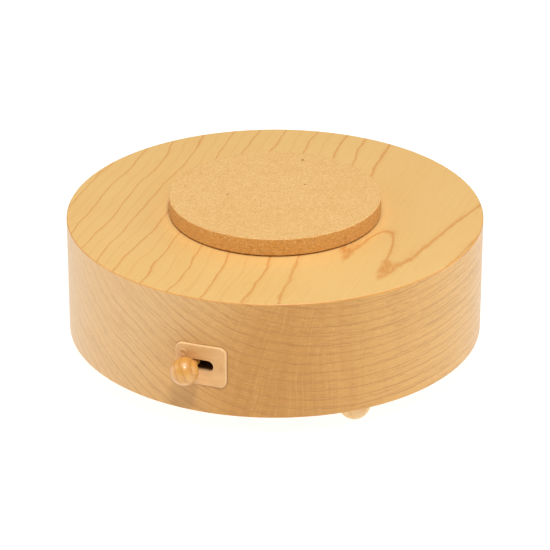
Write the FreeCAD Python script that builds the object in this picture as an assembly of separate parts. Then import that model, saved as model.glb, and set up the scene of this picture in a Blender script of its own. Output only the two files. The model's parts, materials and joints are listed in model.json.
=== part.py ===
import FreeCAD, Part
import math
import os

# A round wooden music box base. A spring-driven movement inside turns the small disc on its top,
# a key underneath winds it, and a knob in the side stops and starts it.
# Millimetres. +Z is up, the origin is on the turntable's axis at the level that the feet stand on,
# and the stop knob is on the -Y side.

# ---- case, feet and turntable: driving dimensions ----
CASE_RADIUS = 59.0
CASE_HEIGHT = 34.5
CASE_EDGE_ROUNDING = 0.5
CASE_TOP_THICKNESS = 5.5
CAVITY_RADIUS = 43.0

FOOT_BALL_RADIUS = 4.5
FOOT_BALL_HEIGHT = 4.3          # the ball's centre above the table, so its underside has a small flat
FOOT_REVEAL = 6.5               # the height of the case's underside above the table
FOOT_CIRCLE_RADIUS = 51.0
FOOT_SPIGOT_RADIUS = 1.75
FOOT_SPIGOT_LENGTH = 7.5
FOOT_NODES = {
    "foot_front_left": 225.0,
    "foot_front_right": 315.0,
    "foot_back_right": 45.0,
    "foot_back_left": 135.0,
}

COVER_THICKNESS = 3.0
COVER_RECESS = 3.0              # the cover lies this far inside the case's underside
COVER_RABBET_RADIUS = 47.0
COVER_CLEARANCE = 0.3
COVER_ARBOR_HOLE_RADIUS = 3.2
COVER_SCREW_CIRCLE_RADIUS = 45.0
COVER_SCREW_ANGLES = (45.0, 135.0, 225.0, 315.0)
COVER_SCREW_RADIUS = 0.9
COVER_SCREW_HEAD_RADIUS = 1.8
COVER_SCREW_HEAD_HEIGHT = 1.2
COVER_SCREW_LENGTH = 9.0

# ---- turntable disc and its hub ----
DISC_RADIUS = 30.0
DISC_THICKNESS = 5.0
DISC_GAP = 0.4                  # between the case's top and the turntable disc
DISC_EDGE_ROUNDING = 0.3
HUB_RADIUS = 8.0
HUB_THICKNESS = 1.2
HUB_BOSS_RADIUS = 3.4
HUB_BOSS_HEIGHT = 1.9
HUB_ROOF = 0.2                  # metal left above the hub's bore
HUB_SIDE_GAP = 0.2              # between the hub's flange and the disc's recess
HUB_BOSS_SIDE_GAP = 0.1
HUB_BOSS_END_GAP = 0.2
HUB_SCREW_CIRCLE_RADIUS = 5.8
HUB_SCREW_RADIUS = 0.7
HUB_SCREW_HEAD_RADIUS = 1.4
HUB_SCREW_LENGTH = 3.3
HUB_SCREW_ANGLES = (90.0, 210.0, 330.0)
HUB_SCREW_SLOT_WIDTH = 0.4
HUB_SCREW_SLOT_DEPTH = 0.35

# ---- gaps that many pieces share ----
PAST = 1.0                      # how far a cutting shape runs past the face that it cuts
RUNNING_GAP = 0.05              # radial clearance of every shaft in its bearing
PILOT_GAP = 0.03                # around a screw in the hole that it bites in
THROUGH_GAP = 0.15              # around a screw in the hole that it passes through
HOLE_END_GAP = 0.5              # below the end of a screw or spigot in a blind hole

# ---- slotted pan-head screws: shares of the head's and the shank's sizes ----
SLOT_WIDTH_SHARE = 0.44
SLOT_DEPTH_SHARE = 0.45
HEAD_RIM_SHARE = 0.55
HEAD_CROWN_SHARE = 0.72
SHANK_POINT_SHARE = 0.6

# ---- stop lever and its plate ----
LEVER_HEIGHT = 21.2
LEVER_PIVOT_Y = -40.0
LEVER_HALF_SWING = 6.7          # degrees each side of straight out
PLATE_WIDTH = 14.6
PLATE_HEIGHT = 12.0
PLATE_CORNER_RADIUS = 2.0
PLATE_BACK_Y = -58.2
PLATE_FRONT_Y = -59.5
PLATE_EDGE_ROUNDING = 0.45
PLATE_GAP = 0.15                # around the plate in its shallow seat
SLOT_WIDTH = 7.3
SLOT_HEIGHT = 3.4
COLLAR_WALL = 0.8
COLLAR_END_Y = -45.0
PASSAGE_GAP = 0.1
MARK_RELIEF = 0.25
MARK_RING_RADIUS = 1.0
MARK_RING_WALL = 0.35
MARK_BAR_WIDTH = 0.5
MARK_BAR_HEIGHT = 2.4
MARK_BAR_CORNER = 0.22
MARK_RING_PLACE = (-4.9, 3.2)   # sideways and up from the plate's centre
MARK_BAR_PLACE = (5.7, -0.2)
ROD_RADIUS = 0.8
ROD_END = 24.2                  # distances along the lever are from its pivot
KNOB_CENTRE = 24.4
KNOB_RADIUS = 3.9
KNOB_NECK_START = 17.4          # inside the slot
KNOB_NECK_START_RADIUS = 1.1
KNOB_NECK_FLARE = 19.9          # just in front of the plate, where the neck starts to widen
KNOB_NECK_FLARE_RADIUS = 1.25
KNOB_NECK_END = 21.5
KNOB_BORE_START = 16.4
KNOB_BORE_END = 24.4
EYE_RADIUS = 2.8
EYE_THICKNESS = 2.4
JOURNAL_RADIUS = 1.5
POST_RADIUS = 2.4
POST_TIP_HEIGHT = 1.2           # of the post above the lever's eye
EYE_GAP = 0.1                   # between the eye and the shoulder below it, or the clip above it
CLIP_THICKNESS = 0.6
STOP_FINGER_LENGTH = 10.55
STOP_FINGER_WIDTH = 1.4
STOP_FINGER_THICKNESS = 1.0
STOP_FINGER_ANGLE = 157.5       # of the finger, at rest, from +X

# ---- movement: gear train ----
CROWN_TEETH = 40
CROWN_MODULE = 0.5
PINION_TEETH = 20
SPUR_MODULE = 0.35
CYLINDER_GEAR_TEETH = 40
GOVERNOR_PINION_TEETH = 10
WORM_MODULE = 0.4
WORM_WHEEL_TEETH = 20
WORM_PITCH_RADIUS = 1.3
WORM_CORE_RADIUS = 0.75
WORM_TIP_RADIUS = 1.65
WORM_TURNS = 5
TOOTH_ADDENDUM = 0.9            # in modules
TOOTH_DEDENDUM = 1.2

# ---- movement: tooth widths at the root and the tip ----
CROWN_TOOTH_WIDTHS = (0.62, 0.34)
PINION_TOOTH_WIDTHS = (0.74, 0.36)
CYLINDER_GEAR_TOOTH_WIDTHS = (0.54, 0.22)
GOVERNOR_PINION_TOOTH_WIDTHS = (0.46, 0.20)
WORM_WHEEL_TOOTH_WIDTHS = (0.56, 0.26)
WORM_THREAD_WIDTHS = (0.52, 0.26)
TOOTH_SINK = 0.2                # how deep a face tooth is let into the barrel
THREAD_SINK = 0.1
WORM_CORE_MARGIN = 0.4          # the worm's core runs this far past its thread

# ---- movement: bodies ----
BEDPLATE_THICKNESS = 1.5
BEDPLATE_OUTLINE = [
    (-20, -37),
    (20, -37),
    (27, -31),
    (27, -11),
    (13, 0),
    (13, 13),
    (-13, 13),
    (-13, 0),
    (-20, -11),
]
MOVEMENT_SCREWS = [(-10.5, 10.5), (10.5, 10.5), (-17.0, -17.0), (17.0, -34.0)]
MOVEMENT_SCREW_RADIUS = 1.0
MOVEMENT_SCREW_HEAD_RADIUS = 1.9
MOVEMENT_SCREW_HEAD_HEIGHT = 1.2
MOVEMENT_SCREW_SHORTFALL = 0.2  # a screw's end stays this far under the bedplate's top
SMALL_SCREW_RADIUS = 0.6
SMALL_SCREW_HEAD_RADIUS = 1.1
SMALL_SCREW_HEAD_HEIGHT = 0.7
SMALL_SCREW_LENGTH = 2.2
BARREL_RADIUS = 11.0
BARREL_WALL = 0.8
BARREL_BOTTOM = 16.4
BARREL_HEIGHT = 5.5
BARREL_LID_THICKNESS = 0.6
CROWN_FACE_WIDTH = 1.6
SPRING_STRIP = 0.25
SPRING_HALF_TURNS = 16
SPRING_GAP = 0.35               # between the mainspring and the barrel's top, lid and wall
SPRING_EYE_GAP = 0.1            # between its innermost turn and the arbor
WINDING_ARBOR_RADIUS = 2.0
WINDING_PIVOT_RADIUS = 1.2
WINDING_PIVOT_LENGTH = 3.2
WINDING_THREAD_RADIUS = 1.6
WINDING_COLLAR_RADIUS = 3.0
WINDING_COLLAR_DROPS = (1.3, 0.2)  # of the collar's two faces below the cover's top
WINDING_BODY_GAP = 0.3          # between the arbor's body and the barrel's top
ARBOR_INSET = 0.6               # of the arbor's end inside the key's boss
OUTPUT_TIP_GAP = 0.2            # above the output post's tip, inside the hub
BLIND_END_GAP = 0.3             # above the winding arbor's pivot, inside the output post
OUTPUT_POST_RADIUS = 2.5
OUTPUT_TIP_RADIUS = 2.0
OUTPUT_FLANGE_RADIUS = 5.0
OUTPUT_FLANGE_THICKNESS = 1.1
BUSHING_RADIUS = 4.0
BUSHING_FLANGE_RADIUS = 6.0
BUSHING_FLANGE_THICKNESS = 0.8
BUSHING_SHORTFALL = 0.4         # its upper end stays this far under the case's top

CYLINDER_RADIUS = 6.5
CYLINDER_WALL = 0.8
CYLINDER_START_Y = -13.7
CYLINDER_LENGTH = 16.0
CYLINDER_ARBOR_RADIUS = 1.0
CYLINDER_ARBOR_Y = (-9.0, -34.2)
PIN_RADIUS = 0.22
PIN_HEIGHT = 0.6
NOTES = 18
NOTE_PITCH = 0.84
PINS_PER_NOTE = 5
PIN_TURN = 137.5                # degrees from one note's first pin to the next note's
PIN_DRIFT = 7.0                 # how unevenly a note's pins are spread
CYLINDER_GEAR_Y = (-30.2, -31.7)
PINION_Y = (-9.4, -10.6)
PINION_HUB_RADIUS = 2.2
PINION_HUB_END_Y = -11.8
INNER_BRACKET_Y = (-12.0, -13.2)
OUTER_BRACKET_Y = (-32.4, -33.6)
BRACKET_WIDTH = 8.0
BRACKET_FOOT_LENGTH = 4.4
BRACKET_FOOT_THICKNESS = 1.0
BRACKET_SCREW_X = (-2.4, 2.4)
BRACKET_SCREW_SHIFT = 0.2       # the screws stand this far back from the middle of the foot

COMB_THICKNESS = 1.0
COMB_TIP_GAP = 0.15             # between the pins' circle and the comb's tips
COMB_TOOTH_WIDTH = 0.55
COMB_LONG_TOOTH = 13.0
COMB_SHORT_TOOTH = 8.5
COMB_SEAT_X = (20.6, 27.0)
COMB_SEAT_Y = (-30.2, -13.2)
COMB_SCREW_X = 24.2
COMB_SCREW_Y = (-17.3, -26.1)
COMB_SCREW_RADIUS = 1.2
COMB_SCREW_LENGTH = 7.0
COMB_SCREW_HEAD_RADIUS = 2.3
COMB_SCREW_HEAD_HEIGHT = 1.5
COMB_TOOTH_ROOT = 0.5           # how far a tooth runs into the heel

GOVERNOR_ARBOR_RADIUS = 0.6
GOVERNOR_ARBOR_Y = (-28.6, -36.4)
GOVERNOR_PINION_Y = (-30.0, -31.9)
WORM_WHEEL_Y = (-33.4, -34.6)
GOVERNOR_WALL_X = (-19.3, -18.3)
GOVERNOR_FRAME_Y = (-36.2, -28.8)
GOVERNOR_TOP_Z = (32.4, 33.4)
GOVERNOR_EAR_X = (-10.4, -7.6)
GOVERNOR_EAR_BOTTOM_Z = 26.0
GOVERNOR_EAR_THICKNESS = 0.8
GOVERNOR_FOOT_END_X = -10.0
GOVERNOR_SCREWS = [(-12.0, -31.2), (-16.6, -30.6)]
FOOT_HOLE_RISE = 1.5            # how far a foot's screw hole is cut above the bedplate
FLY_SHAFT_RADIUS = 0.5
FLY_SHAFT_Z = (14.4, 33.1)
FLY_BLADE_RADIUS = 3.2
FLY_BLADE_THICKNESS = 0.4
FLY_BLADE_Z = (18.6, 22.8)
FLY_HUB_RADIUS = 1.0

CLUTCH_WIRE_RADIUS = 0.22
CLUTCH_TURNS = 3
CLUTCH_PITCH = 0.52
CLUTCH_LEG_LENGTH = 5.0
CLUTCH_REST_HEIGHT = 0.35       # of the coil's first turn above the bedplate
ANCHOR_PIN_RADIUS = 0.6
ANCHOR_PIN_HEIGHT = 1.2
ANCHOR_PIN_GAP = 0.02           # between the pin and the spring's leg
ANCHOR_PIN_INSET = 0.6          # of the pin from the end of the leg

KEY_BOSS_RADIUS = 2.8
KEY_BOSS_Z = (4.0, 8.0)
KEY_WING_THICKNESS = 1.4
KEY_LOBE_RADIUS = 3.6
KEY_LOBE_X = 7.2
KEY_LOBE_Z = 4.6
KEY_WEB_HEIGHT = 4.0
KEY_HOLE_RADIUS = 1.5
KEY_THREAD_INSET = 0.5          # of the threaded hole's end above the boss's underside

# ---- derived levels ----
CASE_BOTTOM = FOOT_REVEAL
CASE_TOP = CASE_BOTTOM + CASE_HEIGHT
CAVITY_TOP = CASE_TOP - CASE_TOP_THICKNESS
COVER_BOTTOM = CASE_BOTTOM + COVER_RECESS
COVER_TOP = COVER_BOTTOM + COVER_THICKNESS
BEDPLATE_TOP = COVER_TOP + BEDPLATE_THICKNESS
DISC_BOTTOM = CASE_TOP + DISC_GAP
DISC_TOP = DISC_BOTTOM + DISC_THICKNESS
HUB_BOTTOM = DISC_BOTTOM + 0.1
HUB_TOP = HUB_BOTTOM + HUB_THICKNESS
HUB_BOSS_TOP = HUB_TOP + HUB_BOSS_HEIGHT

MOVEMENT_SCREW_LENGTH = COVER_THICKNESS + BEDPLATE_THICKNESS - MOVEMENT_SCREW_SHORTFALL

# ---- derived gear train ----
CROWN_RADIUS = CROWN_MODULE * CROWN_TEETH / 2
PINION_RADIUS = CROWN_MODULE * PINION_TEETH / 2
CYLINDER_GEAR_RADIUS = SPUR_MODULE * CYLINDER_GEAR_TEETH / 2
GOVERNOR_PINION_RADIUS = SPUR_MODULE * GOVERNOR_PINION_TEETH / 2
WORM_WHEEL_RADIUS = WORM_MODULE * WORM_WHEEL_TEETH / 2
WORM_PITCH = math.pi * WORM_MODULE
BARREL_TOP = BARREL_BOTTOM + BARREL_HEIGHT
CROWN_PITCH_Z = BARREL_TOP + TOOTH_DEDENDUM * CROWN_MODULE
CYLINDER_Z = CROWN_PITCH_Z + PINION_RADIUS
CYLINDER_END_Y = CYLINDER_START_Y - CYLINDER_LENGTH
PIN_CIRCLE_RADIUS = CYLINDER_RADIUS + PIN_HEIGHT
NOTE_MIDDLE_Y = (CYLINDER_START_Y + CYLINDER_END_Y) / 2
COMB_TIP_X = PIN_CIRCLE_RADIUS + COMB_TIP_GAP
GOVERNOR_X = -(CYLINDER_GEAR_RADIUS + GOVERNOR_PINION_RADIUS)
WORM_X = GOVERNOR_X - WORM_WHEEL_RADIUS - WORM_PITCH_RADIUS
WORM_Y = (WORM_WHEEL_Y[0] + WORM_WHEEL_Y[1]) / 2
POST_BLIND_END = BARREL_TOP - BARREL_WALL + WINDING_PIVOT_LENGTH

UP = FreeCAD.Vector(0, 0, 1)
ALONG_X = FreeCAD.Vector(1, 0, 0)
ALONG_Y = FreeCAD.Vector(0, 1, 0)
SAME = 1e-6                     # two lengths that differ by less are equal


def upright(radius, low, high, x=0.0, y=0.0):
    """A cylinder on a vertical axis between two heights."""
    return Part.makeCylinder(radius, high - low, FreeCAD.Vector(x, y, low), UP)


def lengthwise(radius, y_from, y_to, x, z):
    """A cylinder on an axis along Y."""
    start = FreeCAD.Vector(x, min(y_from, y_to), z)
    return Part.makeCylinder(radius, abs(y_to - y_from), start, ALONG_Y)


def block(x_range, y_range, z_range):
    """A box between two values along each axis, given in either order."""
    sizes = [abs(pair[1] - pair[0]) for pair in (x_range, y_range, z_range)]
    corner = FreeCAD.Vector(min(x_range), min(y_range), min(z_range))
    return Part.makeBox(*sizes, corner)


def around(radius, angle):
    """The X and Y of a point on a circle about the turntable's axis."""
    turn = math.radians(angle)
    return radius * math.cos(turn), radius * math.sin(turn)


def circle_edges(shape, radius, height):
    """The shape's round edges of one radius at one height."""
    return [
        edge
        for edge in shape.Edges
        if isinstance(edge.Curve, Part.Circle)
        and abs(edge.Curve.Radius - radius) < SAME
        and abs(edge.Curve.Center.z - height) < SAME
    ]


def turned(outline, centre=(0.0, 0.0)):
    """A solid turned from (radius, height) points about a vertical axis."""
    points = [FreeCAD.Vector(radius, 0, height) for radius, height in outline]
    face = Part.Face(Part.makePolygon(points + points[:1]))
    solid = face.revolve(FreeCAD.Vector(), UP, 360)
    solid.translate(FreeCAD.Vector(centre[0], centre[1], 0))
    return solid


def facing_prism(outline_face, y_back, y_front):
    """A face drawn in the XZ plane, made into a solid between two depths along Y."""
    face = outline_face.copy()
    face.translate(FreeCAD.Vector(0, y_back, 0))
    return face.extrude(FreeCAD.Vector(0, y_front - y_back, 0))


def rounded_rectangle(width, height, corner, x, z):
    """A rectangle with round corners in the XZ plane, about (x, z)."""
    half_width = width / 2
    half_height = height / 2
    pieces = []
    centres = [(1, 1, 0), (-1, 1, 90), (-1, -1, 180), (1, -1, 270)]
    ends = []
    for side, rise, start in centres:
        centre_x = x + side * (half_width - corner)
        centre_z = z + rise * (half_height - corner)
        points = []
        for angle in (start, start + 45, start + 90):
            turn = math.radians(angle)
            reach_x = corner * math.cos(turn)
            reach_z = corner * math.sin(turn)
            points.append(FreeCAD.Vector(centre_x + reach_x, 0, centre_z + reach_z))
        pieces.append(Part.Arc(*points).toShape())
        ends.append((points[0], points[2]))
    edges = []
    for index, arc in enumerate(pieces):
        edges.append(arc)
        here = ends[index][1]
        there = ends[(index + 1) % len(ends)][0]
        if here.distanceToPoint(there) > SAME:
            edges.append(Part.makeLine(here, there))
    return Part.Face(Part.Wire(edges))


def obround(width, height, x, z):
    """A slot's outline with half-round ends, in the XZ plane."""
    return rounded_rectangle(width, height, height / 2, x, z)


def toothed_prism(teeth, root_radius, tip_radius, widths, thickness, first_angle):
    """A wheel with straight-flanked teeth, lying on the XY plane about the origin."""
    root_width, tip_width = widths
    corners = []
    profile = [
        (root_radius, -root_width / 2),
        (tip_radius, -tip_width / 2),
        (tip_radius, tip_width / 2),
        (root_radius, root_width / 2),
    ]
    for number in range(teeth):
        turn = math.radians(first_angle + number * 360 / teeth)
        for radius, offset in profile:
            x = radius * math.cos(turn) - offset * math.sin(turn)
            y = radius * math.sin(turn) + offset * math.cos(turn)
            corners.append(FreeCAD.Vector(x, y, 0))
    face = Part.Face(Part.makePolygon(corners + corners[:1]))
    return face.extrude(FreeCAD.Vector(0, 0, thickness))


def onto_arbor(wheel, x, y_from, z):
    """Stands a wheel up on an arbor along Y: its angles then run from +X to +Z, and it extends towards -Y."""
    placed = wheel.copy()
    placed.rotate(FreeCAD.Vector(), ALONG_X, 90)
    placed.translate(FreeCAD.Vector(x, y_from, z))
    return placed


def spur_wheel(teeth, module, widths, y_range, first_angle, x, z):
    """A spur wheel on an arbor along Y, between two depths."""
    pitch_radius = module * teeth / 2
    wheel = toothed_prism(
        teeth,
        pitch_radius - TOOTH_DEDENDUM * module,
        pitch_radius + TOOTH_ADDENDUM * module,
        widths,
        abs(y_range[1] - y_range[0]),
        first_angle,
    )
    return onto_arbor(wheel, x, y_range[0], z)


def screw(x, y, seat, direction, shank_radius, length, head_radius, head_height):
    """A slotted pan-head screw. Its head rests on the seat height, and its shank points in the direction."""
    half_slot = SLOT_WIDTH_SHARE * head_radius / 2
    point = SHANK_POINT_SHARE * shank_radius
    outline = [
        (0, -length),
        (point, -length),
        (shank_radius, -length + point),
        (shank_radius, 0),
        (head_radius, 0),
        (head_radius, HEAD_RIM_SHARE * head_height),
        (HEAD_CROWN_SHARE * head_radius, head_height),
        (0, head_height),
    ]
    solid = turned(outline)
    slot = block(
        (-head_radius - PAST, head_radius + PAST),
        (-half_slot, half_slot),
        ((1 - SLOT_DEPTH_SHARE) * head_height, head_height + PAST),
    )
    solid = solid.cut(slot)
    if direction > 0:
        solid.rotate(FreeCAD.Vector(), ALONG_X, 180)
    solid.translate(FreeCAD.Vector(x, y, seat))
    return solid


# ---- case and what closes it ----
def wood_case():
    """The turned case: a deep cup, open below, with a stepped rim for the cover."""
    case = upright(CASE_RADIUS, CASE_BOTTOM, CASE_TOP)
    rims = circle_edges(case, CASE_RADIUS, CASE_BOTTOM) + circle_edges(case, CASE_RADIUS, CASE_TOP)
    case = case.makeFillet(CASE_EDGE_ROUNDING, rims)
    hollows = [
        upright(CAVITY_RADIUS, COVER_TOP, CAVITY_TOP),
        upright(COVER_RABBET_RADIUS, CASE_BOTTOM - PAST, COVER_TOP),
        upright(BUSHING_RADIUS, CAVITY_TOP - PAST, CASE_TOP + PAST),
    ]
    for angle in FOOT_NODES.values():
        x, y = around(FOOT_CIRCLE_RADIUS, angle)
        depth = CASE_BOTTOM + FOOT_SPIGOT_LENGTH + HOLE_END_GAP
        hollows.append(upright(FOOT_SPIGOT_RADIUS + PILOT_GAP, CASE_BOTTOM - PAST, depth, x, y))
    for angle in COVER_SCREW_ANGLES:
        x, y = around(COVER_SCREW_CIRCLE_RADIUS, angle)
        depth = COVER_BOTTOM + COVER_SCREW_LENGTH + HOLE_END_GAP
        hollows.append(upright(COVER_SCREW_RADIUS + PILOT_GAP, COVER_TOP - PAST, depth, x, y))
    seat = rounded_rectangle(
        PLATE_WIDTH + 2 * PLATE_GAP,
        PLATE_HEIGHT + 2 * PLATE_GAP,
        PLATE_CORNER_RADIUS + PLATE_GAP,
        0,
        LEVER_HEIGHT,
    )
    hollows.append(facing_prism(seat, PLATE_BACK_Y, -CASE_RADIUS - PAST))
    around_slot = 2 * (COLLAR_WALL + PASSAGE_GAP)
    passage = obround(SLOT_WIDTH + around_slot, SLOT_HEIGHT + around_slot, 0, LEVER_HEIGHT)
    hollows.append(facing_prism(passage, 2 * PAST - CAVITY_RADIUS, -CASE_RADIUS - PAST))
    return case.cut(hollows)


def ball_foot(angle):
    """A wooden ball with a flat underside, cut flat where it meets the case, on a glued spigot."""
    x, y = around(FOOT_CIRCLE_RADIUS, angle)
    ball = Part.makeSphere(FOOT_BALL_RADIUS, FreeCAD.Vector(x, y, FOOT_BALL_HEIGHT))
    reach = 2 * FOOT_BALL_RADIUS
    span = ((x - reach, x + reach), (y - reach, y + reach))
    ball = ball.common(block(*span, (0, CASE_BOTTOM)))
    spigot = upright(FOOT_SPIGOT_RADIUS, CASE_BOTTOM - PAST, CASE_BOTTOM + FOOT_SPIGOT_LENGTH, x, y)
    return ball.fuse(spigot).removeSplitter()


def bottom_cover():
    """The disc that closes the case and carries the movement."""
    cover = upright(COVER_RABBET_RADIUS - COVER_CLEARANCE, COVER_BOTTOM, COVER_TOP)
    through = (COVER_BOTTOM - PAST, COVER_TOP + PAST)
    holes = [
        upright(COVER_ARBOR_HOLE_RADIUS, *through),
        upright(JOURNAL_RADIUS, *through, 0, LEVER_PIVOT_Y),
    ]
    for angle in COVER_SCREW_ANGLES:
        x, y = around(COVER_SCREW_CIRCLE_RADIUS, angle)
        holes.append(upright(COVER_SCREW_RADIUS + THROUGH_GAP, *through, x, y))
    for x, y in MOVEMENT_SCREWS:
        holes.append(upright(MOVEMENT_SCREW_RADIUS + THROUGH_GAP, *through, x, y))
    return cover.cut(holes)


def cover_screws():
    """Four screws from below, through the cover into the case's ledge."""
    places = [around(COVER_SCREW_CIRCLE_RADIUS, angle) for angle in COVER_SCREW_ANGLES]
    return [
        screw(
            x,
            y,
            COVER_BOTTOM,
            1,
            COVER_SCREW_RADIUS,
            COVER_SCREW_LENGTH,
            COVER_SCREW_HEAD_RADIUS,
            COVER_SCREW_HEAD_HEIGHT,
        )
        for x, y in places
    ]


def stop_plate():
    """The flat moulded plate round the knob's slot, with a collar that lines the hole in the wall."""
    outline = rounded_rectangle(PLATE_WIDTH, PLATE_HEIGHT, PLATE_CORNER_RADIUS, 0, LEVER_HEIGHT)
    plate = facing_prism(outline, PLATE_BACK_Y, PLATE_FRONT_Y)
    front_edges = [edge for edge in plate.Edges if abs(edge.BoundBox.YMax - PLATE_FRONT_Y) < SAME]
    plate = plate.makeFillet(PLATE_EDGE_ROUNDING, front_edges)
    collar_outline = obround(SLOT_WIDTH + 2 * COLLAR_WALL, SLOT_HEIGHT + 2 * COLLAR_WALL, 0, LEVER_HEIGHT)
    collar = facing_prism(collar_outline, COLLAR_END_Y, PLATE_BACK_Y)
    ring_x = MARK_RING_PLACE[0]
    ring_z = LEVER_HEIGHT + MARK_RING_PLACE[1]
    relief_front = PLATE_FRONT_Y - MARK_RELIEF
    ring = lengthwise(MARK_RING_RADIUS, PLATE_FRONT_Y + MARK_RELIEF, relief_front, ring_x, ring_z)
    ring_hole_y = (PLATE_FRONT_Y, relief_front - PAST)
    ring = ring.cut(lengthwise(MARK_RING_RADIUS - MARK_RING_WALL, *ring_hole_y, ring_x, ring_z))
    bar_outline = rounded_rectangle(
        MARK_BAR_WIDTH,
        MARK_BAR_HEIGHT,
        MARK_BAR_CORNER,
        MARK_BAR_PLACE[0],
        LEVER_HEIGHT + MARK_BAR_PLACE[1],
    )
    bar = facing_prism(bar_outline, PLATE_FRONT_Y + MARK_RELIEF, relief_front)
    plate = plate.fuse([collar, ring, bar])
    slot = obround(SLOT_WIDTH, SLOT_HEIGHT, 0, LEVER_HEIGHT)
    return plate.cut(facing_prism(slot, COLLAR_END_Y + PAST, PLATE_FRONT_Y - PAST)).removeSplitter()


# ---- stop lever ----
def lever_post():
    """The riveted steel post that the lever turns on."""
    shoulder = LEVER_HEIGHT - EYE_THICKNESS / 2 - EYE_GAP
    tip = LEVER_HEIGHT + EYE_THICKNESS / 2 + POST_TIP_HEIGHT
    outline = [
        (0, COVER_BOTTOM),
        (JOURNAL_RADIUS, COVER_BOTTOM),
        (JOURNAL_RADIUS, COVER_TOP),
        (POST_RADIUS, COVER_TOP),
        (POST_RADIUS, shoulder),
        (JOURNAL_RADIUS, shoulder),
        (JOURNAL_RADIUS, tip),
        (0, tip),
    ]
    return turned(outline, (0, LEVER_PIVOT_Y))


def lever_clip():
    """The ring that keeps the lever on its post."""
    low = LEVER_HEIGHT + EYE_THICKNESS / 2 + EYE_GAP
    high = low + CLIP_THICKNESS
    ring = upright(POST_RADIUS, low, high, 0, LEVER_PIVOT_Y)
    return ring.cut(upright(JOURNAL_RADIUS, low - PAST, high + PAST, 0, LEVER_PIVOT_Y))


def swung(shape, angle):
    """Turns a shape about the lever's pivot."""
    turned_shape = shape.copy()
    turned_shape.rotate(FreeCAD.Vector(0, LEVER_PIVOT_Y, 0), UP, angle)
    return turned_shape


def stop_arm():
    """The lever: an eye on the post, a rod out to the knob and a finger in to the fly."""
    low = LEVER_HEIGHT - EYE_THICKNESS / 2
    high = LEVER_HEIGHT + EYE_THICKNESS / 2
    eye = upright(EYE_RADIUS, low, high, 0, LEVER_PIVOT_Y)
    rod = lengthwise(ROD_RADIUS, LEVER_PIVOT_Y - POST_RADIUS, LEVER_PIVOT_Y - ROD_END, 0, LEVER_HEIGHT)
    finger = block(
        (POST_RADIUS, STOP_FINGER_LENGTH),
        (LEVER_PIVOT_Y - STOP_FINGER_WIDTH / 2, LEVER_PIVOT_Y + STOP_FINGER_WIDTH / 2),
        (LEVER_HEIGHT - STOP_FINGER_THICKNESS / 2, LEVER_HEIGHT + STOP_FINGER_THICKNESS / 2),
    )
    arm = eye.fuse([swung(rod, -LEVER_HALF_SWING), swung(finger, STOP_FINGER_ANGLE)])
    bore = upright(JOURNAL_RADIUS + RUNNING_GAP, low - PAST, high + PAST, 0, LEVER_PIVOT_Y)
    return arm.cut(bore).removeSplitter()


def lever_knob():
    """A turned wooden ball knob with a short tapered neck, screwed onto the rod."""
    neck_ball_radius = math.sqrt(KNOB_RADIUS**2 - (KNOB_CENTRE - KNOB_NECK_END) ** 2)
    start = FreeCAD.Vector(0, -KNOB_NECK_START, 0)
    neck = FreeCAD.Vector(KNOB_NECK_START_RADIUS, -KNOB_NECK_START, 0)
    flare = FreeCAD.Vector(KNOB_NECK_FLARE_RADIUS, -KNOB_NECK_FLARE, 0)
    shoulder = FreeCAD.Vector(neck_ball_radius, -KNOB_NECK_END, 0)
    widest = FreeCAD.Vector(KNOB_RADIUS, -KNOB_CENTRE, 0)
    tip = FreeCAD.Vector(0, -KNOB_CENTRE - KNOB_RADIUS, 0)
    outline = Part.Wire(
        [
            Part.makeLine(start, neck),
            Part.makeLine(neck, flare),
            Part.makeLine(flare, shoulder),
            Part.Arc(shoulder, widest, tip).toShape(),
            Part.makeLine(tip, start),
        ]
    )
    knob = Part.Face(outline).revolve(FreeCAD.Vector(), ALONG_Y, 360)
    knob.translate(FreeCAD.Vector(0, LEVER_PIVOT_Y, LEVER_HEIGHT))
    bore_y = (LEVER_PIVOT_Y - KNOB_BORE_START, LEVER_PIVOT_Y - KNOB_BORE_END)
    bore = lengthwise(ROD_RADIUS, *bore_y, 0, LEVER_HEIGHT)
    return swung(knob.cut(bore), -LEVER_HALF_SWING)


# ---- turntable and the spring barrel that turns it ----
def turntable_disc():
    """The plain fibreboard disc, hollowed underneath for its hub."""
    disc = upright(DISC_RADIUS, DISC_BOTTOM, DISC_TOP)
    rims = circle_edges(disc, DISC_RADIUS, DISC_TOP) + circle_edges(disc, DISC_RADIUS, DISC_BOTTOM)
    disc = disc.makeFillet(DISC_EDGE_ROUNDING, rims)
    hollows = [
        upright(HUB_RADIUS + HUB_SIDE_GAP, DISC_BOTTOM - PAST, HUB_TOP),
        upright(HUB_BOSS_RADIUS + HUB_BOSS_SIDE_GAP, DISC_BOTTOM - PAST, HUB_BOSS_TOP + HUB_BOSS_END_GAP),
    ]
    pilot_top = HUB_BOTTOM + HUB_SCREW_LENGTH + HUB_BOSS_END_GAP
    for angle in HUB_SCREW_ANGLES:
        x, y = around(HUB_SCREW_CIRCLE_RADIUS, angle)
        hollows.append(upright(HUB_SCREW_RADIUS + PILOT_GAP, HUB_TOP - PAST, pilot_top, x, y))
    return disc.cut(hollows)


def countersunk_outline(gap):
    """The (radius, height) points of a hub screw, or with a gap, of the hole that holds it."""
    shank = HUB_SCREW_RADIUS + gap
    under_head = HUB_BOTTOM + HUB_SCREW_HEAD_RADIUS - HUB_SCREW_RADIUS
    tip = HUB_BOTTOM + HUB_SCREW_LENGTH
    return [
        (0, HUB_BOTTOM),
        (HUB_SCREW_HEAD_RADIUS + gap, HUB_BOTTOM),
        (shank, under_head),
        (shank, tip - HUB_SCREW_RADIUS / 2),
        (shank - HUB_SCREW_RADIUS / 2, tip),
        (0, tip),
    ]


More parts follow.
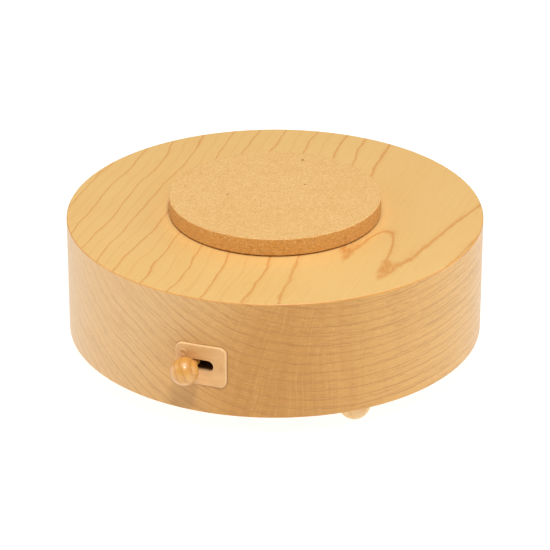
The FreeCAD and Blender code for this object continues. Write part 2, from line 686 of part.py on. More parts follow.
def turntable_hub():
    """The flanged steel hub let into the disc's underside."""
    hub = upright(HUB_RADIUS, HUB_BOTTOM, HUB_TOP).fuse(upright(HUB_BOSS_RADIUS, HUB_BOTTOM, HUB_BOSS_TOP))
    holes = [upright(OUTPUT_TIP_RADIUS, HUB_BOTTOM - PAST, HUB_BOSS_TOP - HUB_ROOF)]
    for angle in HUB_SCREW_ANGLES:
        holes.append(turned(countersunk_outline(PILOT_GAP), around(HUB_SCREW_CIRCLE_RADIUS, angle)))
    return hub.cut(holes).removeSplitter()


def hub_screws():
    """Three countersunk screws that hold the hub in the disc."""
    screws = []
    for angle in HUB_SCREW_ANGLES:
        x, y = around(HUB_SCREW_CIRCLE_RADIUS, angle)
        body = turned(countersunk_outline(0), (x, y))
        slot = block(
            (x - 2 * HUB_SCREW_HEAD_RADIUS, x + 2 * HUB_SCREW_HEAD_RADIUS),
            (y - HUB_SCREW_SLOT_WIDTH / 2, y + HUB_SCREW_SLOT_WIDTH / 2),
            (HUB_BOTTOM - PAST, HUB_BOTTOM + HUB_SCREW_SLOT_DEPTH),
        )
        screws.append(body.cut(slot))
    return screws


def output_post():
    """The shaft from the barrel up through the case's top to the hub."""
    flange_top = BARREL_TOP + OUTPUT_FLANGE_THICKNESS
    tip = HUB_BOSS_TOP - HUB_ROOF - OUTPUT_TIP_GAP
    outline = [
        (0, BARREL_TOP),
        (OUTPUT_FLANGE_RADIUS, BARREL_TOP),
        (OUTPUT_FLANGE_RADIUS, flange_top),
        (OUTPUT_POST_RADIUS, flange_top),
        (OUTPUT_POST_RADIUS, HUB_BOTTOM),
        (OUTPUT_TIP_RADIUS, HUB_BOTTOM),
        (OUTPUT_TIP_RADIUS, tip),
        (0, tip),
    ]
    blind = upright(WINDING_PIVOT_RADIUS + RUNNING_GAP, BARREL_TOP - PAST, POST_BLIND_END + BLIND_END_GAP)
    return turned(outline).cut(blind)


def top_bushing():
    """The flanged brass bush in the case's top that the post runs in."""
    bush = upright(BUSHING_RADIUS, CAVITY_TOP, CASE_TOP - BUSHING_SHORTFALL)
    flange = upright(BUSHING_FLANGE_RADIUS, CAVITY_TOP - BUSHING_FLANGE_THICKNESS, CAVITY_TOP)
    bore = upright(OUTPUT_POST_RADIUS + RUNNING_GAP, CAVITY_TOP - 2 * PAST, CASE_TOP + PAST)
    return bush.fuse(flange).cut(bore).removeSplitter()


def crown_tooth():
    """One face tooth on the barrel's rim, pointing up, on the +X side."""
    root_z = BARREL_TOP - TOOTH_SINK
    tip_z = CROWN_PITCH_Z + TOOTH_ADDENDUM * CROWN_MODULE
    inner = CROWN_RADIUS - CROWN_FACE_WIDTH / 2
    root, tip = (width / 2 for width in CROWN_TOOTH_WIDTHS)
    corners = [(-root, root_z), (root, root_z), (tip, tip_z), (-tip, tip_z)]
    points = [FreeCAD.Vector(inner, y, z) for y, z in corners]
    return Part.Face(Part.makePolygon(points + points[:1])).extrude(FreeCAD.Vector(CROWN_FACE_WIDTH, 0, 0))


def spring_barrel():
    """The drum round the mainspring, with face teeth on its upper rim."""
    drum = upright(BARREL_RADIUS, BARREL_BOTTOM, BARREL_TOP)
    drum = drum.cut(upright(BARREL_RADIUS - BARREL_WALL, BARREL_BOTTOM - PAST, BARREL_TOP - BARREL_WALL))
    drum = drum.cut(upright(WINDING_PIVOT_RADIUS + RUNNING_GAP, BARREL_BOTTOM, BARREL_TOP + PAST))
    teeth = []
    for number in range(CROWN_TEETH):
        tooth = crown_tooth()
        tooth.rotate(FreeCAD.Vector(), UP, (number + 1 / 2) * 360 / CROWN_TEETH)
        teeth.append(tooth)
    return drum.fuse(teeth).removeSplitter()


def barrel_lid():
    """The lid that closes the barrel from below."""
    lid = upright(BARREL_RADIUS - BARREL_WALL, BARREL_BOTTOM, BARREL_BOTTOM + BARREL_LID_THICKNESS)
    return lid.cut(upright(WINDING_ARBOR_RADIUS + RUNNING_GAP, BARREL_BOTTOM - PAST, BARREL_TOP))


def mainspring():
    """The flat coiled strip between the arbor and the barrel's wall, drawn as half circles."""
    innermost = WINDING_ARBOR_RADIUS + SPRING_EYE_GAP + SPRING_STRIP / 2
    outermost = BARREL_RADIUS - BARREL_WALL - SPRING_GAP - SPRING_STRIP / 2
    growth = (outermost - innermost) / SPRING_HALF_TURNS
    outer_edges = []
    inner_edges = []
    for number in range(SPRING_HALF_TURNS):
        middle = innermost + number * growth
        centre = growth * (number % 2)
        side = -1 if number % 2 else 1
        for edges, offset in ((outer_edges, SPRING_STRIP / 2), (inner_edges, -SPRING_STRIP / 2)):
            radius = middle + offset
            first = FreeCAD.Vector(centre + side * radius, 0, 0)
            crest = FreeCAD.Vector(centre, side * radius, 0)
            last = FreeCAD.Vector(centre - side * radius, 0, 0)
            edges.append(Part.Arc(first, crest, last).toShape())
    ends = [
        Part.makeLine(outer_edges[0].Vertexes[0].Point, inner_edges[0].Vertexes[0].Point),
        Part.makeLine(outer_edges[-1].Vertexes[-1].Point, inner_edges[-1].Vertexes[-1].Point),
    ]
    strip = Part.Face(Part.Wire(Part.__sortEdges__(outer_edges + inner_edges + ends)))
    low = BARREL_BOTTOM + BARREL_LID_THICKNESS + SPRING_GAP
    strip.translate(FreeCAD.Vector(0, 0, low))
    return strip.extrude(FreeCAD.Vector(0, 0, BARREL_TOP - BARREL_WALL - SPRING_GAP - low))


# ---- winding ----
def winding_arbor():
    """The shaft that the key turns: threaded below, then a collar, the body and a top pivot."""
    end = KEY_BOSS_Z[0] + ARBOR_INSET
    collar_bottom, collar_top = (COVER_TOP - drop for drop in WINDING_COLLAR_DROPS)
    body_top = BARREL_TOP - BARREL_WALL - WINDING_BODY_GAP
    outline = [
        (0, end),
        (WINDING_THREAD_RADIUS, end),
        (WINDING_THREAD_RADIUS, KEY_BOSS_Z[1]),
        (WINDING_ARBOR_RADIUS, KEY_BOSS_Z[1]),
        (WINDING_ARBOR_RADIUS, collar_bottom),
        (WINDING_COLLAR_RADIUS, collar_bottom),
        (WINDING_COLLAR_RADIUS, collar_top),
        (WINDING_ARBOR_RADIUS, collar_top),
        (WINDING_ARBOR_RADIUS, body_top),
        (WINDING_PIVOT_RADIUS, body_top),
        (WINDING_PIVOT_RADIUS, POST_BLIND_END),
        (0, POST_BLIND_END),
    ]
    return turned(outline)


def winding_key():
    """A winged key with a threaded boss, in the recess under the cover."""
    half = KEY_WING_THICKNESS / 2
    web_z = (KEY_LOBE_Z - KEY_WEB_HEIGHT / 2, KEY_LOBE_Z + KEY_WEB_HEIGHT / 2)
    wings = [block((-KEY_LOBE_X, KEY_LOBE_X), (-half, half), web_z)]
    holes = [upright(WINDING_THREAD_RADIUS, KEY_BOSS_Z[0] + KEY_THREAD_INSET, KEY_BOSS_Z[1] + PAST)]
    for side in (-1, 1):
        wings.append(lengthwise(KEY_LOBE_RADIUS, -half, half, side * KEY_LOBE_X, KEY_LOBE_Z))
        holes.append(lengthwise(KEY_HOLE_RADIUS, -half - PAST, half + PAST, side * KEY_LOBE_X, KEY_LOBE_Z))
    boss = upright(KEY_BOSS_RADIUS, *KEY_BOSS_Z)
    return boss.fuse(wings).cut(holes).removeSplitter()


def clutch_spring():
    """The wire coil that grips the arbor one way, with a leg out to its anchor pin."""
    coil_radius = WINDING_ARBOR_RADIUS + RUNNING_GAP + CLUTCH_WIRE_RADIUS
    helix = Part.makeHelix(CLUTCH_PITCH, CLUTCH_PITCH * CLUTCH_TURNS, coil_radius)
    start = FreeCAD.Vector(coil_radius, 0, 0)
    profile = Part.Wire(Part.makeCircle(CLUTCH_WIRE_RADIUS, start, ALONG_Y))
    coil = Part.Wire(helix).makePipeShell([profile], True, True)
    leg = Part.makeCylinder(CLUTCH_WIRE_RADIUS, CLUTCH_LEG_LENGTH, start, ALONG_Y.negative())
    spring = coil.fuse(leg)
    spring.translate(FreeCAD.Vector(0, 0, BEDPLATE_TOP + CLUTCH_REST_HEIGHT))
    return spring


# ---- the movement's fixed parts ----
def bracket_screw_places():
    """The X and Y of the four screws that hold the two bearing brackets."""
    places = []
    for y_range in (INNER_BRACKET_Y, OUTER_BRACKET_Y):
        for x in BRACKET_SCREW_X:
            places.append((x, y_range[1] - BRACKET_FOOT_LENGTH / 2 + BRACKET_SCREW_SHIFT))
    return places


def bedplate():
    """The cast plate that carries the whole movement, with a raised seat for the comb."""
    points = [FreeCAD.Vector(x, y, COVER_TOP) for x, y in BEDPLATE_OUTLINE]
    outline = Part.Face(Part.makePolygon(points + points[:1]))
    plate = outline.extrude(FreeCAD.Vector(0, 0, BEDPLATE_THICKNESS))
    comb_bottom = CYLINDER_Z - COMB_THICKNESS / 2
    seat = block(COMB_SEAT_X, COMB_SEAT_Y, (COVER_TOP, comb_bottom))
    arbor_side = WINDING_ARBOR_RADIUS + RUNNING_GAP
    anchor_x = arbor_side + 2 * CLUTCH_WIRE_RADIUS + ANCHOR_PIN_GAP + ANCHOR_PIN_RADIUS
    anchor_y = ANCHOR_PIN_INSET - CLUTCH_LEG_LENGTH
    anchor = upright(ANCHOR_PIN_RADIUS, COVER_TOP, BEDPLATE_TOP + ANCHOR_PIN_HEIGHT, anchor_x, anchor_y)
    plate = plate.fuse([seat, anchor])
    through = (COVER_TOP - PAST, BEDPLATE_TOP + PAST)
    holes = [upright(arbor_side, *through)]
    for x, y in MOVEMENT_SCREWS:
        holes.append(upright(MOVEMENT_SCREW_RADIUS + PILOT_GAP, *through, x, y))
    for x, y in bracket_screw_places() + GOVERNOR_SCREWS:
        holes.append(upright(SMALL_SCREW_RADIUS + PILOT_GAP, *through, x, y))
    for y in COMB_SCREW_Y:
        depth = comb_bottom - COMB_SCREW_LENGTH
        holes.append(upright(COMB_SCREW_RADIUS + PILOT_GAP, depth, comb_bottom + PAST, COMB_SCREW_X, y))
    return plate.cut(holes).removeSplitter()


def movement_screws():
    """Four screws from below, through the cover into the bedplate."""
    return [
        screw(
            x,
            y,
            COVER_BOTTOM,
            1,
            MOVEMENT_SCREW_RADIUS,
            MOVEMENT_SCREW_LENGTH,
            MOVEMENT_SCREW_HEAD_RADIUS,
            MOVEMENT_SCREW_HEAD_HEIGHT,
        )
        for x, y in MOVEMENT_SCREWS
    ]


def bearing_bracket(y_range):
    """A bent steel upright with a foot, holding one end of the cylinder's arbor."""
    half = BRACKET_WIDTH / 2
    wall = block((-half, half), y_range, (BEDPLATE_TOP, CYLINDER_Z))
    crown = lengthwise(half, *y_range, 0, CYLINDER_Z)
    foot_y = (y_range[0], y_range[1] - BRACKET_FOOT_LENGTH + abs(y_range[1] - y_range[0]))
    foot = block((-half, half), foot_y, (BEDPLATE_TOP, BEDPLATE_TOP + BRACKET_FOOT_THICKNESS))
    bore_y = (y_range[0] + PAST, y_range[1] - PAST)
    holes = [lengthwise(CYLINDER_ARBOR_RADIUS + RUNNING_GAP, *bore_y, 0, CYLINDER_Z)]
    for x, y in bracket_screw_places():
        holes.append(foot_screw_hole(x, y))
    return wall.fuse([crown, foot]).cut(holes).removeSplitter()


def bracket_screws():
    """The four small screws in the bearing brackets' feet."""
    return [small_screw(x, y) for x, y in bracket_screw_places()]


def foot_screw_hole(x, y):
    """The hole for a small screw through a 1 mm foot."""
    return upright(SMALL_SCREW_RADIUS + PILOT_GAP, BEDPLATE_TOP - PAST, BEDPLATE_TOP + FOOT_HOLE_RISE, x, y)


def small_screw(x, y):
    """A small screw down through a 1 mm foot into the bedplate."""
    return screw(
        x,
        y,
        BEDPLATE_TOP + BRACKET_FOOT_THICKNESS,
        -1,
        SMALL_SCREW_RADIUS,
        SMALL_SCREW_LENGTH,
        SMALL_SCREW_HEAD_RADIUS,
        SMALL_SCREW_HEAD_HEIGHT,
    )


def note_y(note):
    """The Y of one note's comb tooth and track of pins."""
    return NOTE_MIDDLE_Y + (note - (NOTES - 1) / 2) * NOTE_PITCH


def comb():
    """The steel comb: a heel on the seat, and a tooth for each note, longer towards the low notes."""
    low = CYLINDER_Z - COMB_THICKNESS / 2
    high = CYLINDER_Z + COMB_THICKNESS / 2
    half_band = NOTE_PITCH * NOTES / 2
    longest_root = COMB_TIP_X + COMB_LONG_TOOTH
    shortest_root = COMB_TIP_X + COMB_SHORT_TOOTH
    heel_outline = [
        (shortest_root, NOTE_MIDDLE_Y + half_band),
        (COMB_SEAT_X[1], NOTE_MIDDLE_Y + half_band),
        (COMB_SEAT_X[1], NOTE_MIDDLE_Y - half_band),
        (longest_root, NOTE_MIDDLE_Y - half_band),
    ]
    points = [FreeCAD.Vector(x, y, low) for x, y in heel_outline]
    outline = Part.Face(Part.makePolygon(points + points[:1]))
    heel = outline.extrude(FreeCAD.Vector(0, 0, COMB_THICKNESS))
    half_tooth = COMB_TOOTH_WIDTH / 2
    teeth = []
    for note in range(NOTES):
        y = note_y(note)
        tooth_x = (COMB_TIP_X, longest_root + COMB_TOOTH_ROOT)
        teeth.append(block(tooth_x, (y - half_tooth, y + half_tooth), (low, high)))
    holes = []
    for y in COMB_SCREW_Y:
        holes.append(upright(COMB_SCREW_RADIUS + THROUGH_GAP, low - PAST, high + PAST, COMB_SCREW_X, y))
    return heel.fuse(teeth).cut(holes).removeSplitter()


def comb_screws():
    """The two large screws that clamp the comb to its seat."""
    seat = CYLINDER_Z + COMB_THICKNESS / 2
    return [
        screw(
            COMB_SCREW_X,
            y,
            seat,
            -1,
            COMB_SCREW_RADIUS,
            COMB_SCREW_LENGTH,
            COMB_SCREW_HEAD_RADIUS,
            COMB_SCREW_HEAD_HEIGHT,
        )
        for y in COMB_SCREW_Y
    ]


def governor_frame():
    """A bent frame for the governor: foot, wall and roof, with two ears that hold the worm wheel's arbor."""
    foot_z = (BEDPLATE_TOP, BEDPLATE_TOP + BRACKET_FOOT_THICKNESS)
    foot = block((GOVERNOR_WALL_X[0], GOVERNOR_FOOT_END_X), GOVERNOR_FRAME_Y, foot_z)
    wall = block(GOVERNOR_WALL_X, GOVERNOR_FRAME_Y, (BEDPLATE_TOP, GOVERNOR_TOP_Z[1]))
    roof = block((GOVERNOR_WALL_X[0], GOVERNOR_EAR_X[1]), GOVERNOR_FRAME_Y, GOVERNOR_TOP_Z)
    ears = []
    for edge, inward in ((GOVERNOR_FRAME_Y[0], 1), (GOVERNOR_FRAME_Y[1], -1)):
        ear_y = (edge, edge + inward * GOVERNOR_EAR_THICKNESS)
        ears.append(block(GOVERNOR_EAR_X, ear_y, (GOVERNOR_EAR_BOTTOM_Z, GOVERNOR_TOP_Z[1])))
    arbor_hole = lengthwise(
        GOVERNOR_ARBOR_RADIUS + RUNNING_GAP,
        GOVERNOR_FRAME_Y[0] - PAST,
        GOVERNOR_FRAME_Y[1] + PAST,
        GOVERNOR_X,
        CYLINDER_Z,
    )
    shaft_z = (BEDPLATE_TOP - PAST, GOVERNOR_TOP_Z[1] + PAST)
    shaft_hole = upright(FLY_SHAFT_RADIUS + RUNNING_GAP, *shaft_z, WORM_X, WORM_Y)
    holes = [arbor_hole, shaft_hole]
    for x, y in GOVERNOR_SCREWS:
        holes.append(foot_screw_hole(x, y))
    return foot.fuse([wall, roof] + ears).cut(holes).removeSplitter()


def governor_screws():
    """The two small screws in the governor frame's foot."""
    return [small_screw(x, y) for x, y in GOVERNOR_SCREWS]


# ---- pinned cylinder and governor train ----
def cylinder_drum():
    """The tube that plays the tune, with its pins standing out and closed ends on the arbor."""
    drum = lengthwise(CYLINDER_RADIUS, CYLINDER_START_Y, CYLINDER_END_Y, 0, CYLINDER_Z)
    hollow_y = (CYLINDER_START_Y - CYLINDER_WALL, CYLINDER_END_Y + CYLINDER_WALL)
    drum = drum.cut(lengthwise(CYLINDER_RADIUS - CYLINDER_WALL, *hollow_y, 0, CYLINDER_Z))
    pins = []
    for note in range(NOTES):
        for number in range(PINS_PER_NOTE):
            turn = note * PIN_TURN + number * 360 / PINS_PER_NOTE + PIN_DRIFT * math.sin(note + 2 * number)
            pin = Part.makeCylinder(PIN_RADIUS, PIN_HEIGHT + CYLINDER_WALL / 2)
            pin.translate(FreeCAD.Vector(0, 0, CYLINDER_RADIUS - CYLINDER_WALL / 2))
            pin.rotate(FreeCAD.Vector(), ALONG_Y, turn)
            pin.translate(FreeCAD.Vector(0, note_y(note), CYLINDER_Z))
            pins.append(pin)
    bore_y = (CYLINDER_START_Y + PAST, CYLINDER_END_Y - PAST)
    return drum.fuse(pins).cut(lengthwise(CYLINDER_ARBOR_RADIUS, *bore_y, 0, CYLINDER_Z))


def cylinder_arbor():
    """The shaft through the pinned cylinder, its pinion and its gear."""
    return lengthwise(CYLINDER_ARBOR_RADIUS, *CYLINDER_ARBOR_Y, 0, CYLINDER_Z)


def cylinder_pinion():
    """The pinion that the barrel's face teeth drive. A tooth points straight down."""
    wheel = spur_wheel(PINION_TEETH, CROWN_MODULE, PINION_TOOTH_WIDTHS, PINION_Y, 270, 0, CYLINDER_Z)
    hub = lengthwise(PINION_HUB_RADIUS, PINION_Y[1], PINION_HUB_END_Y, 0, CYLINDER_Z)
    bore = lengthwise(CYLINDER_ARBOR_RADIUS, PINION_Y[0] + PAST, PINION_HUB_END_Y - PAST, 0, CYLINDER_Z)
    return wheel.fuse(hub).cut(bore).removeSplitter()


def cylinder_gear():
    """The gear at the cylinder's outer end that drives the governor. A tooth points to -X."""
    widths = CYLINDER_GEAR_TOOTH_WIDTHS
    wheel = spur_wheel(CYLINDER_GEAR_TEETH, SPUR_MODULE, widths, CYLINDER_GEAR_Y, 180, 0, CYLINDER_Z)
    bore_y = (CYLINDER_GEAR_Y[0] + PAST, CYLINDER_GEAR_Y[1] - PAST)
    return wheel.cut(lengthwise(CYLINDER_ARBOR_RADIUS, *bore_y, 0, CYLINDER_Z))


def governor_pinion():
    """The small pinion, cut in one piece with the governor's arbor. A gap faces +X."""
    half_tooth = 180 / GOVERNOR_PINION_TEETH
    wheel = spur_wheel(
        GOVERNOR_PINION_TEETH,
        SPUR_MODULE,
        GOVERNOR_PINION_TOOTH_WIDTHS,
        GOVERNOR_PINION_Y,
        half_tooth,
        GOVERNOR_X,
        CYLINDER_Z,
    )
    arbor = lengthwise(GOVERNOR_ARBOR_RADIUS, *GOVERNOR_ARBOR_Y, GOVERNOR_X, CYLINDER_Z)
    return wheel.fuse(arbor).removeSplitter()


def worm_wheel():
    """The wheel that drives the worm. A tooth points to -X, towards the worm."""
    widths = WORM_WHEEL_TOOTH_WIDTHS
    wheel = spur_wheel(WORM_WHEEL_TEETH, WORM_MODULE, widths, WORM_WHEEL_Y, 180, GOVERNOR_X, CYLINDER_Z)
    bore_y = (WORM_WHEEL_Y[0] + PAST, WORM_WHEEL_Y[1] - PAST)
    return wheel.cut(lengthwise(GOVERNOR_ARBOR_RADIUS, *bore_y, GOVERNOR_X, CYLINDER_Z))


def worm_shaft():
    """The upright shaft with a right-hand worm. At rest the gap between two threads faces the wheel's tooth."""
    length = WORM_TURNS * WORM_PITCH
    low = CYLINDER_Z - length / 2
    helix = Part.makeHelix(WORM_PITCH, length, WORM_CORE_RADIUS)
    root, tip = (width / 2 for width in WORM_THREAD_WIDTHS)
    root_x = WORM_CORE_RADIUS - THREAD_SINK
    corners = [(root_x, -root), (WORM_TIP_RADIUS, -tip), (WORM_TIP_RADIUS, tip), (root_x, root)]
    points = [FreeCAD.Vector(x, 0, z) for x, z in corners]
    thread = Part.Wire(helix).makePipeShell([Part.makePolygon(points + points[:1])], True, True)
    thread.translate(FreeCAD.Vector(0, 0, low))
    core = upright(WORM_CORE_RADIUS, low - WORM_CORE_MARGIN, low + length + WORM_CORE_MARGIN)
    shaft = upright(FLY_SHAFT_RADIUS, *FLY_SHAFT_Z)
    worm = core.fuse([thread, shaft]).removeSplitter()
    worm.translate(FreeCAD.Vector(WORM_X, WORM_Y, 0))
    return worm


def air_brake():
    """The fly: two flat blades on a sleeve, which the air slows and the stop finger blocks."""
    half = FLY_BLADE_THICKNESS / 2
    blades = block((-FLY_BLADE_RADIUS, FLY_BLADE_RADIUS), (-half, half), FLY_BLADE_Z)
    sleeve = upright(FLY_HUB_RADIUS, *FLY_BLADE_Z)
    bore = upright(FLY_SHAFT_RADIUS, FLY_BLADE_Z[0] - PAST, FLY_BLADE_Z[1] + PAST)
    fly = blades.fuse(sleeve).cut(bore).removeSplitter()
    fly.translate(FreeCAD.Vector(WORM_X, WORM_Y, 0))
    return fly


def all_nodes():
    """Every node's name and its solid or solids."""
    nodes = {"wood_case": wood_case()}
    for name, angle in FOOT_NODES.items():
        nodes[name] = ball_foot(angle)
    nodes.update(
        {
            "bottom_cover": bottom_cover(),
            "cover_screws": cover_screws(),
            "stop_plate": stop_plate(),
            "top_bushing": top_bushing(),
            "bedplate": bedplate(),
            "movement_screws": movement_screws(),
            "inner_bearing_bracket": bearing_bracket(INNER_BRACKET_Y),
            "outer_bearing_bracket": bearing_bracket(OUTER_BRACKET_Y),
            "bracket_screws": bracket_screws(),
            "comb": comb(),
            "comb_screws": comb_screws(),
            "governor_frame": governor_frame(),
            "governor_screws": governor_screws(),
            "clutch_spring": clutch_spring(),
            "lever_post": lever_post(),
            "lever_clip": lever_clip(),
            "stop_arm": stop_arm(),
            "lever_knob": lever_knob(),
            "turntable_disc": turntable_disc(),
            "turntable_hub": turntable_hub(),
            "hub_screws": hub_screws(),
            "output_post": output_post(),
            "spring_barrel": spring_barrel(),
            "barrel_lid": barrel_lid(),
            "mainspring": mainspring(),
            "winding_arbor": winding_arbor(),
            "winding_key": winding_key(),
            "cylinder_drum": cylinder_drum(),
            "cylinder_arbor": cylinder_arbor(),
            "cylinder_pinion": cylinder_pinion(),
            "cylinder_gear": cylinder_gear(),
            "governor_pinion": governor_pinion(),
            "worm_wheel": worm_wheel(),
            "worm_shaft": worm_shaft(),
            "air_brake": air_brake(),
        }
    )
    return nodes


def main():
    """Writes one STEP file per node."""
    os.makedirs("parts", exist_ok=True)
    for name, shape in all_nodes().items():
        if isinstance(shape, list):
            shape = Part.makeCompound(shape)
        solids = shape.Solids
        volume = sum(solid.Volume for solid in solids)
        print(f"{name}: {len(solids)} solid(s), {volume:.2f} mm3, valid {shape.isValid()}")
        shape.exportStep(f"parts/{name}.step")


main()
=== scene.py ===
import json
import math

import bpy
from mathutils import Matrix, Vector


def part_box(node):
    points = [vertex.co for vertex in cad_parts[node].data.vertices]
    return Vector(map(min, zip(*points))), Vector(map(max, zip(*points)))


# The looks of a round wooden music box base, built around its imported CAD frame.
# Metres, in the CAD's frame: +Z up, the turntable's axis at the origin, the stop knob on the -Y side.
# Texture maths is in millimetres, because a wood's rings and pores are easier to read that way.

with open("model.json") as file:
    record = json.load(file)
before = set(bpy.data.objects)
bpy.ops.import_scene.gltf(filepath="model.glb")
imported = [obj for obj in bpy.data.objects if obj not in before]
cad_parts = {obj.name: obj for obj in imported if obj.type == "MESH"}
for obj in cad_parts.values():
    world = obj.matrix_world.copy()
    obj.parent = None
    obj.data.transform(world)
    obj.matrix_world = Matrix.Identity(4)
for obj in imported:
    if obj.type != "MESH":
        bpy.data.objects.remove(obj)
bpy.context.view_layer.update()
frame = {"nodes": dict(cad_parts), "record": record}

# ---- camera: driving values ----
CAMERA_AZIMUTH = 19.7           # degrees; 0 looks along +Y
CAMERA_ELEVATION = 24.84
CAMERA_DISTANCE = 0.8525        # from the middle of the case's top face
CAMERA_LENS = 196.95            # millimetres
CAMERA_SENSOR = 36.0
CAMERA_AIM_DROP = 0.02008       # how far below the top face the camera points
CAMERA_NEAR = 0.05
CAMERA_FAR = 50.0

# ---- studio: driving values ----
FLOOR_REACH = 6.0               # from the middle to each edge
FLOOR_GREYS = ((0.34, 0.34, 0.335, 1.0), (0.36, 0.36, 0.355, 1.0))
FLOOR_GLOW = 0.88               # most of the floor's white comes from this
SURROUND_STRENGTH = 0.18

# ---- levels taken from the frame ----
case_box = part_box("wood_case")
knob_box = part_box("lever_knob")
post_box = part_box("lever_post")
CASE_TOP = case_box[1].z
KNOB_MIDDLE = (knob_box[0] + knob_box[1]) / 2
LEVER_PIVOT = (post_box[0] + post_box[1]) / 2

MILLIMETRES = 1000.0            # in a metre
WHITE = (1.0, 1.0, 1.0, 1.0)


def colour(red, green, blue):
    """A colour given as it looks on a screen, 0 to 1, as Blender's linear values."""
    def linear(value):
        return value / 12.92 if value <= 0.04045 else ((value + 0.055) / 1.055) ** 2.4
    return linear(red), linear(green), linear(blue), 1.0


class Nodes:
    """Short names for the shader nodes that the materials below are made of."""

    def __init__(self, name):
        self.material = bpy.data.materials.new(name)
        self.material.use_nodes = True
        self.tree = self.material.node_tree
        self.shader = self.tree.nodes["Principled BSDF"]

    def add(self, kind, **settings):
        node = self.tree.nodes.new(kind)
        for key, value in settings.items():
            setattr(node, key, value)
        return node

    def feed(self, socket, value):
        """Links a socket to another one, or sets it to a constant."""
        if isinstance(value, bpy.types.NodeSocket):
            self.tree.links.new(value, socket)
        else:
            socket.default_value = value

    def set(self, **inputs):
        """Sets or links the surface shader's inputs, named with _ for a space."""
        for key, value in inputs.items():
            self.feed(self.shader.inputs[key.replace("_", " ")], value)

    def millimetres(self, turn=(0.0, 0.0, 0.0), origin=(0.0, 0.0, 0.0)):
        """The place on the object in millimetres, from an origin given in metres, then turned by degrees."""
        place = self.add("ShaderNodeTexCoord").outputs["Object"]
        moved = self.vector("SUBTRACT", place, origin)
        mapping = self.add("ShaderNodeMapping")
        self.feed(mapping.inputs["Vector"], moved)
        mapping.inputs["Rotation"].default_value = [math.radians(angle) for angle in turn]
        mapping.inputs["Scale"].default_value = (MILLIMETRES, MILLIMETRES, MILLIMETRES)
        return mapping.outputs["Vector"]

    def normal(self):
        """The surface's direction in the object's own axes, as three values."""
        facing = self.add("ShaderNodeTexCoord").outputs["Normal"]
        return self.split(facing)

    def split(self, vector):
        node = self.add("ShaderNodeSeparateXYZ")
        self.feed(node.inputs[0], vector)
        return node.outputs[0], node.outputs[1], node.outputs[2]

    def join(self, x, y, z):
        node = self.add("ShaderNodeCombineXYZ")
        for socket, value in zip(node.inputs, (x, y, z)):
            self.feed(socket, value)
        return node.outputs[0]

    def maths(self, operation, first, second=0.0, third=0.0):
        node = self.add("ShaderNodeMath", operation=operation)
        for socket, value in zip(node.inputs, (first, second, third)):
            self.feed(socket, value)
        return node.outputs[0]

    def vector(self, operation, first, second=(0.0, 0.0, 0.0)):
        node = self.add("ShaderNodeVectorMath", operation=operation)
        self.feed(node.inputs[0], first)
        self.feed(node.inputs[1], second)
        return node.outputs["Value"] if operation == "LENGTH" else node.outputs["Vector"]

    def noise(self, place, scale, detail, rough, twist=0.0, shift=0.0):
        """Noise with its cells per millimetre along each axis. A shift gives another piece of it."""
        stretched = self.vector("MULTIPLY", place, scale)
        moved = self.vector("ADD", stretched, (shift, shift, shift))
        node = self.add("ShaderNodeTexNoise")
        self.feed(node.inputs["Vector"], moved)
        node.inputs["Scale"].default_value = 1.0
        node.inputs["Detail"].default_value = detail
        node.inputs["Roughness"].default_value = rough
        node.inputs["Distortion"].default_value = twist
        return node.outputs["Fac"]

    def spots(self, place, scale, shift):
        """The distance to the nearest of many scattered points, and a random colour for each point."""
        stretched = self.vector("MULTIPLY", place, (scale, scale, scale))
        moved = self.vector("ADD", stretched, (shift, shift, shift))
        node = self.add("ShaderNodeTexVoronoi")
        self.feed(node.inputs["Vector"], moved)
        node.inputs["Scale"].default_value = 1.0
        return node.outputs["Distance"], node.outputs["Color"]

    def between(self, value, low, high, new_low=0.0, new_high=1.0):
        """Maps low..high softly to new_low..new_high, and holds the ends."""
        node = self.add("ShaderNodeMapRange", interpolation_type="SMOOTHSTEP")
        for socket, number in zip(node.inputs[:5], (value, low, high, new_low, new_high)):
            self.feed(socket, number)
        return node.outputs[0]

    def ramp(self, value, stops):
        """A number that follows (place, number) stops."""
        node = self.add("ShaderNodeValToRGB")
        elements = node.color_ramp.elements
        while len(elements) < len(stops):
            elements.new(1.0)
        for element, (place, number) in zip(elements, stops):
            element.position = place
            element.color = (number, number, number, 1.0)
        self.feed(node.inputs[0], value)
        return node.outputs["Color"]

    def multiply(self, first, second):
        """One value times another."""
        return self.maths("MULTIPLY", first, second)

    def sway(self, value, noise, amount):
        """A value that noise moves, half the amount each way at most."""
        return self.maths("MULTIPLY_ADD", self.maths("SUBTRACT", noise, 0.5), amount, value)

    def radius(self, place):
        """The distance from the turntable's axis."""
        return self.vector("LENGTH", self.vector("MULTIPLY", place, (1.0, 1.0, 0.0)))

    def mix(self, share, first, second):
        """The first colour, giving way to the second as the share goes from 0 to 1."""
        node = self.add("ShaderNodeMix", data_type="RGBA")
        self.feed(node.inputs["Factor"], share)
        self.feed(node.inputs[6], first)
        self.feed(node.inputs[7], second)
        return node.outputs[2]

    def stain(self, under, where, share, over):
        """Another colour laid over the first where a mask is 1, up to a share of it."""
        return self.mix(self.multiply(where, share), under, over)

    def bumps(self, *layers):
        """Surface relief from (height, depth in metres) layers."""
        normal = None
        for height, depth in layers:
            node = self.add("ShaderNodeBump")
            node.inputs["Strength"].default_value = 1.0
            node.inputs["Distance"].default_value = depth
            self.feed(node.inputs["Height"], height)
            if normal is not None:
                self.feed(node.inputs["Normal"], normal)
            normal = node.outputs["Normal"]
        self.feed(self.shader.inputs["Normal"], normal)


